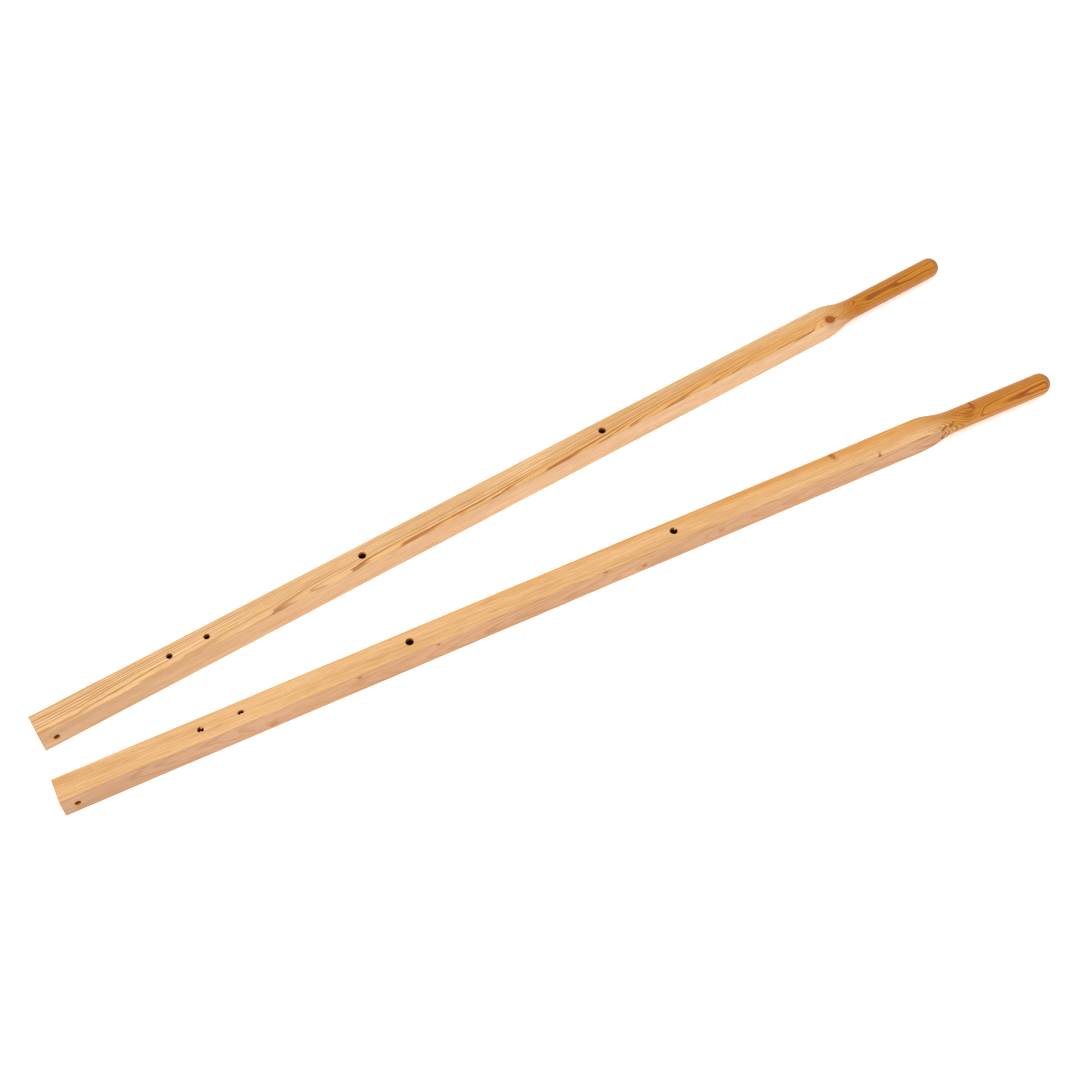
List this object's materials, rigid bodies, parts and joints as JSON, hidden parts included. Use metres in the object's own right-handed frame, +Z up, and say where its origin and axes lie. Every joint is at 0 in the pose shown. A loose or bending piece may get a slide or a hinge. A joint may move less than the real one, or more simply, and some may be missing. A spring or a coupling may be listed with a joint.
{
  "type": "wheelbarrow handles",
  "caption": "Pair of loose wooden wheelbarrow handles: square bars with bolt holes, each turned to a round grip at one end.",
  "frame": {"origin": "under the middle of the pair's box, on the surface that the handles lie on", "axes": "+X from the wheel ends to the grips, midway between the two handles; +Y towards the right handle; +Z up"},
  "size_m": [1.5305, 0.3104, 0.037],
  "materials": {
    "left_wood": "clear satin lacquer, orange-tan softwood",
    "right_wood": "clear satin lacquer, pale tan softwood"
  },
  "bodies": {
    "left_handle": {"left_handle": "left_wood"},
    "right_handle": {"right_handle": "right_wood"}
  },
  "joints": [
    {"name": "right_handle_lift", "type": "slide", "parent": "left_handle", "child": "right_handle", "axis": [0, 0, 1], "range_m": [0, 0.25]}
  ]
}
